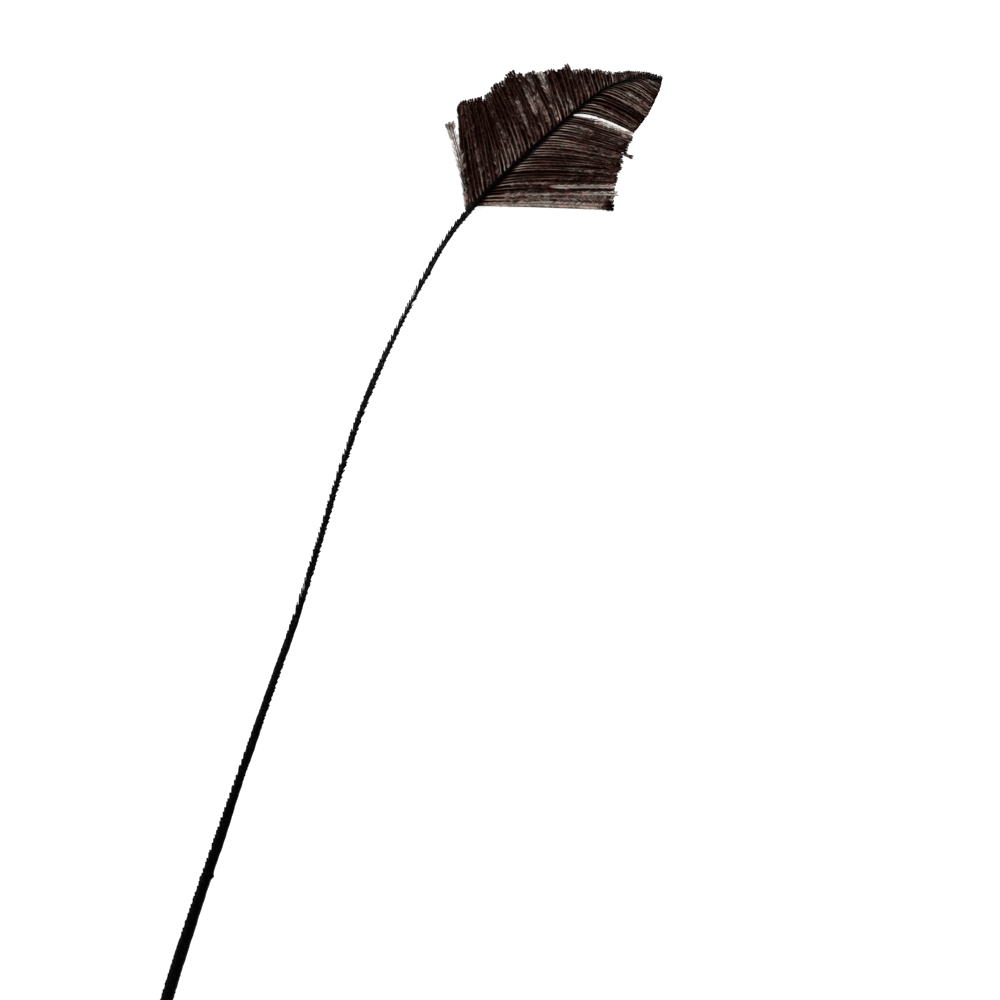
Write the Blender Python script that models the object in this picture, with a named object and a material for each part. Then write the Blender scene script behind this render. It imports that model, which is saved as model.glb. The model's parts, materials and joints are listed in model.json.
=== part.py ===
"""Ostrich feather quill, lying on a flat surface.

A long quill stripped of its barbs, from the thick round butt up to a trimmed arrowhead of
barbs at the top. The feather grew as one piece, so it is one solid: the shaft, with the
locks of barbs joined to both of its sides.

The origin is on the flat underside of the shaft, 30 mm above the butt's end. +Y runs up
the quill, +X is the side that the arrowhead leans to, and +Z points up, off the surface.
A station is a distance along the quill from the butt. Everything is in metres.
"""

import math
from dataclasses import dataclass

import bmesh
import bpy
import numpy as np

# Where the butt's end lies, and the quill's whole length along its bend.
BUTT_END = (0.0022, -0.0299)
QUILL_LENGTH = 0.500

# The quill's bend as seen from above: the way it heads at each station, in degrees from +Y
# towards +X. Between two stations it is an even arc.
BEND = (
    (0.000, -3.8),
    (0.095, -4.6),
    (0.150, -1.8),
    (0.225, -0.3),
    (0.255, -1.2),
    (0.275, -3.0),
    (0.300, -3.8),
    (0.330, 0.0),
    (0.365, 6.2),
    (0.395, 9.0),
    (0.412, 20.9),
    (0.424, 24.8),
    (0.455, 29.2),
    (0.474, 30.9),
    (0.484, 50.2),
    (0.500, 79.2),
)
LINE_STEPS = 2000

# The shaft's width seen from above, and its height over its width.
SHAFT_WIDTH = (
    (0.000, 0.0018),
    (0.003, 0.0034),
    (0.009, 0.0048),
    (0.025, 0.0054),
    (0.060, 0.0053),
    (0.100, 0.0047),
    (0.130, 0.0041),
    (0.165, 0.0034),
    (0.200, 0.0028),
    (0.250, 0.0023),
    (0.300, 0.0018),
    (0.345, 0.0018),
    (0.368, 0.0014),
    (0.395, 0.0015),
    (0.417, 0.0017),
    (0.450, 0.0014),
    (0.480, 0.0009),
    (0.500, 0.0004),
)
HEIGHT_SHARE = ((0.000, 0.92), (0.100, 0.95), (0.250, 1.10), (0.417, 1.15), (0.500, 1.00))

# How far the shaft's underside is off the surface. It lies flat up to the curve below the
# arrowhead, which its barbs hold up, and the butt's end is rounded up off the surface.
SHAFT_LIFT = (
    (0.000, 0.0012),
    (0.003, 0.0005),
    (0.009, 0.0000),
    (0.325, 0.0000),
    (0.360, 0.0003),
    (0.417, 0.0012),
    (0.455, 0.0020),
    (0.485, 0.0012),
    (0.500, 0.0008),
)

# The shaft's section, a rounded square with a flat underside: shares of the half width,
# and of the height.
SHAFT_SECTION = (
    (0.38, 0.00),
    (0.80, 0.15),
    (1.00, 0.50),
    (0.80, 0.85),
    (0.34, 1.00),
    (-0.34, 1.00),
    (-0.80, 0.85),
    (-1.00, 0.50),
    (-0.80, 0.15),
    (-0.38, 0.00),
)
RING_SPACING = 0.005
BUTT_RING_SPACING = 0.0015
BUTT_ROUNDING = 0.012

# The trimmed edge of the arrowhead. Each row is a station on the shaft, the place where the
# barb that grows from there is cut, as X and Y, and the angle in degrees at which it leaves
# the shaft.
LEFT_EDGE = (
    (0.4163, -0.0180, 0.4146, 54.0),
    (0.4185, -0.0176, 0.4170, 48.0),
    (0.4210, -0.0168, 0.4189, 44.0),
    (0.4250, -0.0142, 0.4208, 42.0),
    (0.4290, -0.0121, 0.4217, 42.0),
    (0.4330, -0.0106, 0.4227, 42.0),
    (0.4370, -0.0091, 0.4250, 42.0),
    (0.4410, -0.0082, 0.4280, 42.0),
    (0.4460, -0.0060, 0.4317, 42.0),
    (0.4500, -0.0038, 0.4346, 42.0),
    (0.4530, -0.0013, 0.4350, 42.0),
    (0.4590, 0.0050, 0.4388, 42.0),
    (0.4620, 0.0082, 0.4403, 42.0),
    (0.4680, 0.0138, 0.4434, 42.0),
    (0.4695, 0.0156, 0.4427, 42.0),
    (0.4740, 0.0196, 0.4446, 42.0),
    (0.4800, 0.0256, 0.4462, 42.0),
    (0.4830, 0.0296, 0.4470, 42.0),
    (0.4890, 0.0347, 0.4493, 42.0),
    (0.4940, 0.0400, 0.4508, 42.0),
    (0.4995, 0.0462, 0.4511, 42.0),
)
RIGHT_LOWER_EDGE = (
    (0.4175, 0.0458, 0.4004, 34.0),
    (0.4210, 0.0457, 0.4043, 30.0),
    (0.4250, 0.0444, 0.4083, 26.0),
    (0.4300, 0.0434, 0.4122, 22.0),
    (0.4360, 0.0432, 0.4152, 20.0),
    (0.4430, 0.0431, 0.4176, 18.0),
    (0.4500, 0.0429, 0.4210, 17.0),
    (0.4560, 0.0431, 0.4236, 17.0),
    (0.4640, 0.0422, 0.4277, 17.0),
)
RIGHT_UPPER_EDGE = (
    (0.4640, 0.0435, 0.4290, 17.0),
    (0.4710, 0.0448, 0.4324, 17.0),
    (0.4770, 0.0461, 0.4370, 12.0),
    (0.4830, 0.0466, 0.4417, 6.0),
    (0.4890, 0.0469, 0.4454, 5.0),
    (0.4940, 0.0468, 0.4477, 5.0),
    (0.4995, 0.0467, 0.4503, 5.0),
)
STRAY_EDGE = (
    (0.4143, -0.0199, 0.4088, 54.0),
    (0.4157, -0.0183, 0.4114, 54.0),
)


@dataclass(frozen=True)
class Stretch:
    """A stretch of the shaft, and the locks of barbs that grow side by side along it.

    The side is 1 on the right and -1 on the left. A barb keeps the way it leaves the shaft
    for the leaving share of its length, and then bends over towards its cut end.
    """

    name: str
    edge: tuple
    side: int
    leaving_share: float
    lock_count: int


# The stray lock has come away from the others at the arrowhead's left corner, and a slit
# parts the barbs on the right in two.
STRETCHES = (
    Stretch("left_locks", LEFT_EDGE, -1, 0.16, 34),
    Stretch("stray_lock", STRAY_EDGE, -1, 0.16, 1),
    Stretch("right_lower_locks", RIGHT_LOWER_EDGE, 1, 0.18, 19),
    Stretch("right_upper_locks", RIGHT_UPPER_EDGE, 1, 0.28, 14),
)

# How much of its own stretch each lock fills, and how raggedly the locks are cut.
LOCK_FILL = 0.84
CUT_RAGGEDNESS = 0.0006

# A lock's root is inside the shaft, this share of the half width off the middle, and this
# share of the height up. Its flat underside comes down to the surface where it is cut, and
# its top is a ridge, this share of the lock's width.
ROOT_INSET_SHARE = 0.40
ROOT_HEIGHT_SHARE = 0.38
LOCK_THICKNESS_AT_ROOT = 0.00050
LOCK_THICKNESS_AT_CUT = 0.00028
MOST_THICKNESS_SHARE = 0.45
LOCK_ARCH = 0.0007
FULL_ARCH_LENGTH = 0.020
FALL_POWER = 1.5
RIDGE_SHARE = 0.45
LOCK_RINGS = 7

SHAFT_COLOUR = (0.008, 0.007, 0.006)
BARB_COLOUR = (0.045, 0.022, 0.018)
SHARP_EDGE_ANGLE = 35.0


def clear_scene():
    """Removes the objects that the startup file brings."""
    for obj in list(bpy.data.objects):
        bpy.data.objects.remove(obj, do_unlink=True)


def new_material(name, colour, roughness):
    """A plain material of one colour."""
    material = bpy.data.materials.new(name)
    material.use_nodes = True
    shader = material.node_tree.nodes["Principled BSDF"]
    shader.inputs["Base Color"].default_value = (*colour, 1.0)
    shader.inputs["Roughness"].default_value = roughness
    shader.inputs["Metallic"].default_value = 0.0
    material.diffuse_color = (*colour, 1.0)
    return material


def read_table(table, station, column=1):
    """The table's value at a station, straight between its rows."""
    return float(np.interp(station, [row[0] for row in table], [row[column] for row in table]))


def quill_line():
    """Stations along the quill, and the X, Y and heading there, from the bend's arcs."""
    stations = np.linspace(0.0, QUILL_LENGTH, LINE_STEPS + 1)
    heading = np.radians(np.interp(stations, [b[0] for b in BEND], [b[1] for b in BEND]))
    step = QUILL_LENGTH / LINE_STEPS
    middle = (heading[1:] + heading[:-1]) / 2
    x = BUTT_END[0] + np.concatenate([[0.0], np.cumsum(np.sin(middle) * step)])
    y = BUTT_END[1] + np.concatenate([[0.0], np.cumsum(np.cos(middle) * step)])
    return stations, x, y, heading


STATIONS, LINE_X, LINE_Y, LINE_HEADING = quill_line()


def place_on_quill(station):
    """X and Y at a station, with the unit vectors up the quill and to its right."""
    x = float(np.interp(station, STATIONS, LINE_X))
    y = float(np.interp(station, STATIONS, LINE_Y))
    heading = float(np.interp(station, STATIONS, LINE_HEADING))
    along = np.array([math.sin(heading), math.cos(heading)])
    right = np.array([along[1], -along[0]])
    return np.array([x, y]), along, right


def shaft_size(station):
    """The shaft's width, its height and the height of its underside at a station."""
    width = read_table(SHAFT_WIDTH, station)
    return width, width * read_table(HEIGHT_SHARE, station), read_table(SHAFT_LIFT, station)


def loft(mesh, rings):
    """Closed skin over rings of points, each ring running the same way round."""
    rows = [[mesh.verts.new(point) for point in ring] for ring in rings]
    count = len(rows[0])
    for lower, upper in zip(rows[:-1], rows[1:]):
        for i in range(count):
            j = (i + 1) % count
            mesh.faces.new((lower[i], lower[j], upper[j], upper[i]))
    mesh.faces.new(list(reversed(rows[0])))
    mesh.faces.new(rows[-1])


def mesh_object(name, mesh, material):
    """A mesh object from a bmesh, its faces turned to point out."""
    bmesh.ops.recalc_face_normals(mesh, faces=mesh.faces)
    data = bpy.data.meshes.new(name)
    mesh.to_mesh(data)
    mesh.free()
    data.materials.append(material)
    obj = bpy.data.objects.new(name, data)
    bpy.context.scene.collection.objects.link(obj)
    return obj


def shaft_stations():
    """Where the shaft's rings stand: close together at the rounded butt, even above it."""
    butt = np.arange(0.0, BUTT_ROUNDING, BUTT_RING_SPACING)
    count = round((QUILL_LENGTH - BUTT_ROUNDING) / RING_SPACING)
    return np.concatenate([butt, np.linspace(BUTT_ROUNDING, QUILL_LENGTH, count + 1)])


def build_shaft(material):
    """The stripped quill, from its rounded butt to its fine tip."""
    mesh = bmesh.new()
    rings = []
    for station in shaft_stations():
        centre, _, right = place_on_quill(station)
        width, height, lift = shaft_size(station)
        ring = []
        for across, up in SHAFT_SECTION:
            x, y = centre + right * (across * width / 2)
            ring.append((x, y, lift + up * height))
        rings.append(ring)
    loft(mesh, rings)
    return mesh_object("feather", mesh, material)


def barb_point(stretch, station, share):
    """A point on the underside of the barb that grows from a station.

    The share is 0 at the barb's root and 1 where it is cut. From above, the barb is a
    quadratic curve from its root to the trimmed edge. Seen from the side, it falls from the
    root to the surface in a low arch.
    """
    centre, along, right = place_on_quill(station)
    width, height, lift = shaft_size(station)
    root = centre + right * (stretch.side * ROOT_INSET_SHARE * width / 2)
    cut = np.array([read_table(stretch.edge, station, 1), read_table(stretch.edge, station, 2)])
    length = float(np.linalg.norm(cut - root))
    turn = math.radians(read_table(stretch.edge, station, 3))
    leaving = along * math.cos(turn) + right * (stretch.side * math.sin(turn))
    bend = root + leaving * (stretch.leaving_share * length)
    x, y = root * (1 - share) ** 2 + bend * (2 * share * (1 - share)) + cut * share**2
    arch = LOCK_ARCH * min(1.0, length / FULL_ARCH_LENGTH)
    root_height = lift + ROOT_HEIGHT_SHARE * height
    under = root_height * (1 - share) ** FALL_POWER + arch * 4 * share * (1 - share)
    return np.array([x, y, under])


def lock_rings(stretch, station, half_width, cut_at):
    """One lock's rings, a flat underside with a ridge above it, from the root to the cut."""
    height = shaft_size(station)[1]
    root_thickness = min(LOCK_THICKNESS_AT_ROOT, MOST_THICKNESS_SHARE * height)
    cut_thickness = min(LOCK_THICKNESS_AT_CUT, root_thickness)
    rings = []
    for share in np.linspace(0.0, cut_at, LOCK_RINGS):
        lower = barb_point(stretch, station - half_width, share)
        upper = barb_point(stretch, station + half_width, share)
        middle = (lower + upper) / 2
        thickness = root_thickness + (cut_thickness - root_thickness) * share
        rise = np.array([0.0, 0.0, thickness])
        ridge_lower = middle + (lower - middle) * RIDGE_SHARE + rise
        ridge_upper = middle + (upper - middle) * RIDGE_SHARE + rise
        rings.append([tuple(lower), tuple(upper), tuple(ridge_upper), tuple(ridge_lower)])
    return rings


def build_locks(stretch, material):
    """The locks on one stretch of the shaft, side by side, to be joined to it."""
    mesh = bmesh.new()
    first, last = stretch.edge[0][0], stretch.edge[-1][0]
    spacing = (last - first) / stretch.lock_count
    for i in range(stretch.lock_count):
        station = first + (i + 0.5) * spacing
        root = barb_point(stretch, station, 0.0)
        cut = barb_point(stretch, station, 1.0)
        ragged = CUT_RAGGEDNESS * math.sin(2.4 * i + 1.1 * math.sin(1.7 * i))
        cut_at = 1.0 + min(0.0, ragged) / float(np.linalg.norm(cut - root))
        loft(mesh, lock_rings(stretch, station, LOCK_FILL * spacing / 2, cut_at))
    locks = mesh_object(stretch.name, mesh, material)
    locks.hide_render = True
    locks.display_type = "WIRE"
    return locks


def join_to(shaft, locks):
    """Joins a stretch of locks to the shaft, as one solid."""
    joint = shaft.modifiers.new(f"join {locks.name}", "BOOLEAN")
    joint.operation = "UNION"
    joint.solver = "EXACT"
    joint.material_mode = "TRANSFER"
    joint.object = locks


def main():
    clear_scene()
    shaft_material = new_material("dyed quill", SHAFT_COLOUR, 0.38)
    barb_material = new_material("dyed barbs", BARB_COLOUR, 0.60)
    feather = build_shaft(shaft_material)
    for stretch in STRETCHES:
        join_to(feather, build_locks(stretch, barb_material))
    feather.data.shade_smooth()
    feather.data.set_sharp_from_angle(angle=math.radians(SHARP_EDGE_ANGLE))


main()
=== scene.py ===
"""Looks of an ostrich feather quill that lies on a pale floor.

The shaft is stripped of its barbs, apart from a trimmed arrowhead of them at the top. The
dyed shaft, the stubs of the cut barbs and every barb with its barbules are built here round
the solid. A station is a distance along the quill from the butt, a share runs from 0 at a
barb's root to 1 where the barb is cut. Everything is in metres.
"""

import json
import logging
import math
from dataclasses import dataclass
from enum import Enum
from functools import cached_property

import bpy
import numpy as np
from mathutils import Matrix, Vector

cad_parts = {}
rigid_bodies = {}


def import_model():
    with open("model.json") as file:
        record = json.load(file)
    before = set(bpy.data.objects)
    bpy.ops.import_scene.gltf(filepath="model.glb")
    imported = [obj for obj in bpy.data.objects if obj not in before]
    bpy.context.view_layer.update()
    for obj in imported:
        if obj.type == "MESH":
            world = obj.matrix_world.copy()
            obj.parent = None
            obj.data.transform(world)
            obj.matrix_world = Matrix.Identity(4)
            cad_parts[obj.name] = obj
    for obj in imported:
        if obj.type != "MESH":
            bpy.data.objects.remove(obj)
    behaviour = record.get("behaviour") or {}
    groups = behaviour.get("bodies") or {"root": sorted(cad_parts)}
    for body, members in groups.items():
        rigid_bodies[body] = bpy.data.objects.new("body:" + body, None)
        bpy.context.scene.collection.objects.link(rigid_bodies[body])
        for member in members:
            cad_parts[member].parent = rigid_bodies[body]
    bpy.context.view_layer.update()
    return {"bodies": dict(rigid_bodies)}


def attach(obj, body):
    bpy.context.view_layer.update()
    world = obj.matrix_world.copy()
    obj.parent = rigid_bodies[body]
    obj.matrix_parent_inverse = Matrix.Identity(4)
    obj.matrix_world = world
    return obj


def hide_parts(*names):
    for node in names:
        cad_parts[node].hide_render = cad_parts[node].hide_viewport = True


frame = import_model()

LOG = logging.getLogger("quill")
BODY = next(iter(frame["bodies"]))
NODE = "feather"
BAKE_MAP = "OFBake"
TONE = "tone"
MILLIMETRE = 0.001
LOWEST = 0.00002

Array = np.ndarray
Colour = tuple[float, float, float]
Spread = tuple[float, float]
Table = tuple[tuple[float, ...], ...]
Stops = tuple[tuple[float, Colour], ...]
Source = bpy.types.NodeSocket | float | Colour


class Side(Enum):
    """The side of the shaft that barbs grow on, seen from above with the butt below."""

    LEFT = -1
    RIGHT = 1


class Slot(Enum):
    """The record's material slots."""

    QUILL = "dyed_quill"
    BARBS = "dyed_barbs"


def read_table(table: Table, at: Array, column: int = 1) -> Array:
    """A table's column at some places, straight between its rows.

    Args:
        table: Rows that start with the place along the table.
        at: Places to read at, in any shape.
        column: Which column to read.

    Returns:
        The values, in the shape of the places.
    """
    rows = np.array(table)
    return np.interp(at, rows[:, 0], rows[:, column])


def ease(value: Array) -> Array:
    """A smooth step: 3 v squared less 2 v cubed, with v held between 0 and 1."""
    held = np.clip(value, 0.0, 1.0)
    return held * held * (3.0 - 2.0 * held)


def bell(value: Array) -> Array:
    """A bell curve of height 1: e to the power of minus v squared."""
    return np.exp(-value * value)


def unit(vectors: Array) -> Array:
    """Vectors scaled to length 1, along their last axis."""
    return vectors / np.linalg.norm(vectors, axis=-1, keepdims=True)


@dataclass(frozen=True)
class Place:
    """Points on the quill's line, with the unit vectors up the quill and to its right."""

    centre: Array
    along: Array
    right: Array


@dataclass(frozen=True)
class QuillLine:
    """The quill's centre line and section, the same as the solid's.

    Between two rows of the bend, which gives the heading in degrees from +Y towards +X, the
    line is an even arc.
    """

    butt_end: tuple[float, float] = (0.0022, -0.0299)
    length: float = 0.500
    bend: Table = (
        (0.000, -3.8),
        (0.095, -4.6),
        (0.150, -1.8),
        (0.225, -0.3),
        (0.255, -1.2),
        (0.275, -3.0),
        (0.300, -3.8),
        (0.330, 0.0),
        (0.365, 6.2),
        (0.395, 9.0),
        (0.412, 20.9),
        (0.424, 24.8),
        (0.455, 29.2),
        (0.474, 30.9),
        (0.484, 50.2),
        (0.500, 79.2),
    )
    widths: Table = (
        (0.000, 0.0018),
        (0.003, 0.0034),
        (0.009, 0.0048),
        (0.025, 0.0054),
        (0.060, 0.0053),
        (0.100, 0.0047),
        (0.130, 0.0041),
        (0.165, 0.0034),
        (0.200, 0.0028),
        (0.250, 0.0023),
        (0.300, 0.0018),
        (0.345, 0.0018),
        (0.368, 0.0014),
        (0.395, 0.0015),
        (0.417, 0.0017),
        (0.450, 0.0014),
        (0.480, 0.0009),
        (0.500, 0.0004),
    )
    height_shares: Table = ((0.000, 0.92), (0.100, 0.95), (0.250, 1.10), (0.417, 1.15), (0.500, 1.00))
    lifts: Table = (
        (0.000, 0.0012),
        (0.003, 0.0005),
        (0.009, 0.0000),
        (0.325, 0.0000),
        (0.360, 0.0003),
        (0.417, 0.0012),
        (0.455, 0.0020),
        (0.485, 0.0012),
        (0.500, 0.0008),
    )
    steps: int = 2000

    @cached_property
    def line(self) -> tuple[Array, Array, Array, Array]:
        """Stations, X, Y and heading: X and Y add up each step's sine and cosine."""
        stations = np.linspace(0.0, self.length, self.steps + 1)
        heading = np.radians(read_table(self.bend, stations))
        middle = (heading[1:] + heading[:-1]) / 2
        step = self.length / self.steps
        x = self.butt_end[0] + np.concatenate([[0.0], np.cumsum(np.sin(middle) * step)])
        y = self.butt_end[1] + np.concatenate([[0.0], np.cumsum(np.cos(middle) * step)])
        return stations, x, y, heading

    def place(self, at: Array) -> Place:
        """Where the line is at some stations.

        Args:
            at: Stations, in any shape.

        Returns:
            X and Y there, and the directions up the quill and to its right.
        """
        stations, x, y, heading = self.line
        turned = np.interp(at, stations, heading)
        centre = np.stack([np.interp(at, stations, x), np.interp(at, stations, y)], axis=-1)
        along = np.stack([np.sin(turned), np.cos(turned)], axis=-1)
        right = np.stack([np.cos(turned), -np.sin(turned)], axis=-1)
        return Place(centre, along, right)

    def width(self, at: Array) -> Array:
        """The shaft's width at some stations."""
        return read_table(self.widths, at)

    def height(self, at: Array) -> Array:
        """The shaft's height at some stations: its width times the height share."""
        return self.width(at) * read_table(self.height_shares, at)

    def lift(self, at: Array) -> Array:
        """How far the shaft's underside is off the surface at some stations."""
        return read_table(self.lifts, at)


QUILL = QuillLine()


@dataclass
class Skin:
    """Points and faces of a mesh that is being put together.

    Each set of faces is a whole-number array with a row for each face.
    """

    points: Array
    faces: list[Array]

    def to_mesh(self, name: str) -> bpy.types.Mesh:
        """Writes the points and the sets of faces into a new smooth mesh.

        Args:
            name: The mesh's name.

        Returns:
            The mesh.
        """
        corners = np.concatenate([faces.ravel() for faces in self.faces]).astype(np.int32)
        sizes = np.concatenate([np.full(len(faces), faces.shape[1]) for faces in self.faces])
        starts = np.concatenate([[0], np.cumsum(sizes)[:-1]]).astype(np.int32)
        mesh = bpy.data.meshes.new(name)
        mesh.vertices.add(len(self.points))
        mesh.vertices.foreach_set("co", self.points.astype(np.float32).ravel())
        mesh.loops.add(len(corners))
        mesh.loops.foreach_set("vertex_index", corners)
        mesh.polygons.add(len(sizes))
        mesh.polygons.foreach_set("loop_start", starts)
        mesh.update(calc_edges=True)
        mesh.shade_smooth()
        return mesh


def skin_of_tubes(rings: Array) -> Skin:
    """Closed skins over rings of points, with a face across each end.

    A quad joins each point to the next one round its ring and to the same ones on the next
    ring along.

    Args:
        rings: Points, as tubes by rings by sides by 3. Seen from a tube's end, looking back
            to its start, its rings run clockwise.

    Returns:
        The points and faces.
    """
    tubes, count, sides = rings.shape[:3]
    number = np.arange(tubes * count * sides).reshape(tubes, count, sides)
    near, far = number[:, :-1], number[:, 1:]
    quads = np.stack([near, far, np.roll(far, -1, 2), np.roll(near, -1, 2)], axis=-1)
    return Skin(rings.reshape(-1, 3), [quads.reshape(-1, 4), number[:, 0], number[:, -1, ::-1]])


@dataclass(frozen=True)
class Frames:
    """A direction, the level direction to its right and the one above it, at each point."""

    ahead: Array
    right: Array
    above: Array

    def heading(self, side: Array, angle: Array, tilt: Array) -> Array:
        """Directions at an angle off ahead, to the side of a sign and tilted above it.

        Args:
            side: 1 for the right and -1 for the left, for each point.
            angle: The angle off ahead, in radians.
            tilt: The angle above the side, in radians.

        Returns:
            Ahead times the angle's cosine, and the tilted side times its sine.
        """
        outward = side * self.right * np.cos(tilt) + self.above * np.sin(tilt)
        return self.ahead * np.cos(angle) + outward * np.sin(angle)


def frames_of(ahead: Array) -> Frames:
    """Level frames: right is ahead crossed with Z, and above is right crossed with ahead."""
    forward = unit(ahead)
    right = unit(np.cross(forward, np.array([0.0, 0.0, 1.0])))
    return Frames(forward, right, np.cross(right, forward))


def section(frames: Frames, turns: Array, radius: Array, flatness: float = 1.0) -> Array:
    """The points of a section round each point: right by the cosine, above by the sine.

    Args:
        frames: The directions at the points.
        turns: Angles round the section in radians, from the right to above.
        radius: Half the section's width at each point.
        flatness: The section's height over its width.

    Returns:
        Offsets from the points, with one more axis for the turns before the last.
    """
    cosine, sine = np.cos(turns)[:, None], np.sin(turns)[:, None]
    reach = radius[..., None, None]
    across = frames.right[..., None, :] * cosine * reach
    return across + frames.above[..., None, :] * sine * reach * flatness


def put_in_scene(mesh: bpy.types.Mesh, material: bpy.types.Material) -> bpy.types.Object:
    """Makes the object of a finished mesh, in place of the solid.

    Args:
        mesh: The mesh, already in place.
        material: Its only material.

    Returns:
        The object, at the origin and riding on the feather's body.
    """
    mesh.materials.append(material)
    piece = bpy.data.objects.new(mesh.name, mesh)
    bpy.context.scene.collection.objects.link(piece)
    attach(piece, BODY)
    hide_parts(NODE)
    return piece


def set_tone(mesh: bpy.types.Mesh, tone: Array) -> None:
    """Keeps how pale each point is, from 0 to 1, as the mesh's tone attribute."""
    layer = mesh.attributes.new(TONE, "FLOAT", "POINT")
    layer.data.foreach_set("value", np.clip(tone, 0.0, 1.0).astype(np.float32).ravel())


def corner_points(mesh: bpy.types.Mesh) -> Array:
    """The number of the point that each corner of a mesh's faces stands on."""
    corners = np.empty(len(mesh.loops), np.int32)
    mesh.loops.foreach_get("vertex_index", corners)
    return corners


def set_map(mesh: bpy.types.Mesh, name: str, uv: Array) -> None:
    """Keeps a U and a V for each corner of a mesh's faces, as one of its maps."""
    layer = mesh.uv_layers.new(name=name)
    layer.data.foreach_set("uv", uv.astype(np.float32).ravel())


class Recipe:
    """The node tree of one material, with short calls to add and join its nodes.

    The Mix node's sockets for colours are told by number, because its names repeat.
    """

    MIX_SHARE = 0
    MIX_FIRST = 6
    MIX_SECOND = 7
    MIX_RESULT = 2

    def __init__(self, name: str) -> None:
        """Starts a material with only its shader and its output."""
        self.material = bpy.data.materials.new(name)
        self.material.use_nodes = True
        self.tree = self.material.node_tree
        self.shader = self.tree.nodes["Principled BSDF"]

    def add(self, kind: str, **settings: object) -> bpy.types.Node:
        """Adds a node.

        Args:
            kind: The name of the node's type, after ShaderNode.
            settings: The node's own properties.

        Returns:
            The node.
        """
        node = self.tree.nodes.new(f"ShaderNode{kind}")
        for name, value in settings.items():
            setattr(node, name, value)
        return node

    def join(self, source: Source, target: bpy.types.NodeSocket) -> None:
        """Links a socket to another, or writes a number or a colour into it."""
        if isinstance(source, bpy.types.NodeSocket):
            self.tree.links.new(source, target)
        elif isinstance(source, tuple):
            target.default_value = (*source, 1.0)
        else:
            target.default_value = source

    def feed(self, socket: str, source: Source) -> None:
        """Feeds one of the shader's own sockets."""
        self.join(source, self.shader.inputs[socket])

    def noise(self, source: bpy.types.NodeSocket, scale: float, detail: float) -> bpy.types.NodeSocket:
        """A noise from 0 to 1 over some coordinates."""
        node = self.add("TexNoise")
        node.inputs["Scale"].default_value = scale
        node.inputs["Detail"].default_value = detail
        self.join(source, node.inputs["Vector"])
        return node.outputs["Fac"]

    def spread(self, source: bpy.types.NodeSocket, least: float, most: float) -> bpy.types.NodeSocket:
        """A value from 0 to 1, spread between a least and a most."""
        node = self.add("MapRange")
        node.inputs["To Min"].default_value = least
        node.inputs["To Max"].default_value = most
        self.join(source, node.inputs["Value"])
        return node.outputs["Result"]

    def reckoned(self, operation: str, first: Source, second: Source) -> bpy.types.NodeSocket:
        """Two values put together by an operation of the Math node."""
        node = self.add("Math", operation=operation)
        self.join(first, node.inputs[0])
        self.join(second, node.inputs[1])
        return node.outputs[0]

    def stretched(self, source: bpy.types.NodeSocket, scale: Colour) -> bpy.types.NodeSocket:
        """Coordinates scaled on each axis."""
        node = self.add("Mapping")
        node.inputs["Scale"].default_value = scale
        self.join(source, node.inputs["Vector"])
        return node.outputs["Vector"]

    def ramp(self, source: bpy.types.NodeSocket, stops: Stops) -> bpy.types.NodeSocket:
        """Colours along a value, straight between the stops."""
        node = self.add("ValToRGB")
        band = node.color_ramp
        band.elements.remove(band.elements[1])
        band.elements[0].position = stops[0][0]
        band.elements[0].color = (*stops[0][1], 1.0)
        for position, colour in stops[1:]:
            band.elements.new(position).color = (*colour, 1.0)
        self.join(source, node.inputs["Fac"])
        return node.outputs["Color"]

    def mixed(
        self, share: Source, first: Source, second: Source, blend: str = "MIX"
    ) -> bpy.types.NodeSocket:
        """Two colours mixed by a share."""
        node = self.add("Mix", data_type="RGBA", blend_type=blend)
        self.join(share, node.inputs[self.MIX_SHARE])
        self.join(first, node.inputs[self.MIX_FIRST])
        self.join(second, node.inputs[self.MIX_SECOND])
        return node.outputs[self.MIX_RESULT]

    def bump(self, source: bpy.types.NodeSocket, strength: float, depth: float) -> None:
        """Bumps the shader's normal by a height."""
        node = self.add("Bump")
        node.inputs["Strength"].default_value = strength
        node.inputs["Distance"].default_value = depth
        self.join(source, node.inputs["Height"])
        self.feed("Normal", node.outputs["Normal"])


@dataclass(frozen=True)
class QuillFinish:
    """Dyed horn: black, with fine lines along it, partly scuffs and partly painted glints, that are
    paler where its tone is high.
    """

    name: str = "dyed horn"
    black: Colour = (0.0004, 0.0002, 0.0002)
    scuffs_and_glints: Stops = (
        (0.17, (0.0006, 0.0005, 0.0004)),
        (0.27, (0.0090, 0.0086, 0.0076)),
        (0.42, (0.0600, 0.0570, 0.0500)),
    )
    roughness_least: float = 0.28
    roughness_most: float = 0.50
    specular: float = 0.022
    line_scale: Colour = (12.0, 420.0, 1.0)
    line_detail: float = 4.0
    cloud_scale: float = 1500.0
    cloud_detail: float = 3.0
    bump_strength: float = 0.6
    bump_depth: float = 0.00008

    def make(self) -> bpy.types.Material:
        """Noise drawn out along the shaft's own map gives the scuffs and painted glints, their bump and
        gloss.
        """
        recipe = Recipe(self.name)
        uv = recipe.add("UVMap", uv_map=Shaft.MAP).outputs["UV"]
        lines = recipe.noise(recipe.stretched(uv, self.line_scale), 1.0, self.line_detail)
        place = recipe.add("TexCoord").outputs["Object"]
        clouds = recipe.noise(place, self.cloud_scale, self.cloud_detail)
        scuffed_and_glinting = recipe.ramp(recipe.reckoned("MULTIPLY", lines, clouds), self.scuffs_and_glints)
        tone = recipe.add("Attribute", attribute_name=TONE).outputs["Fac"]
        recipe.feed("Base Color", recipe.mixed(tone, self.black, scuffed_and_glinting))
        recipe.feed("Roughness", recipe.spread(clouds, self.roughness_least, self.roughness_most))
        recipe.feed("Specular IOR Level", self.specular)
        recipe.bump(lines, self.bump_strength, self.bump_depth)
        return recipe.material


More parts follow.
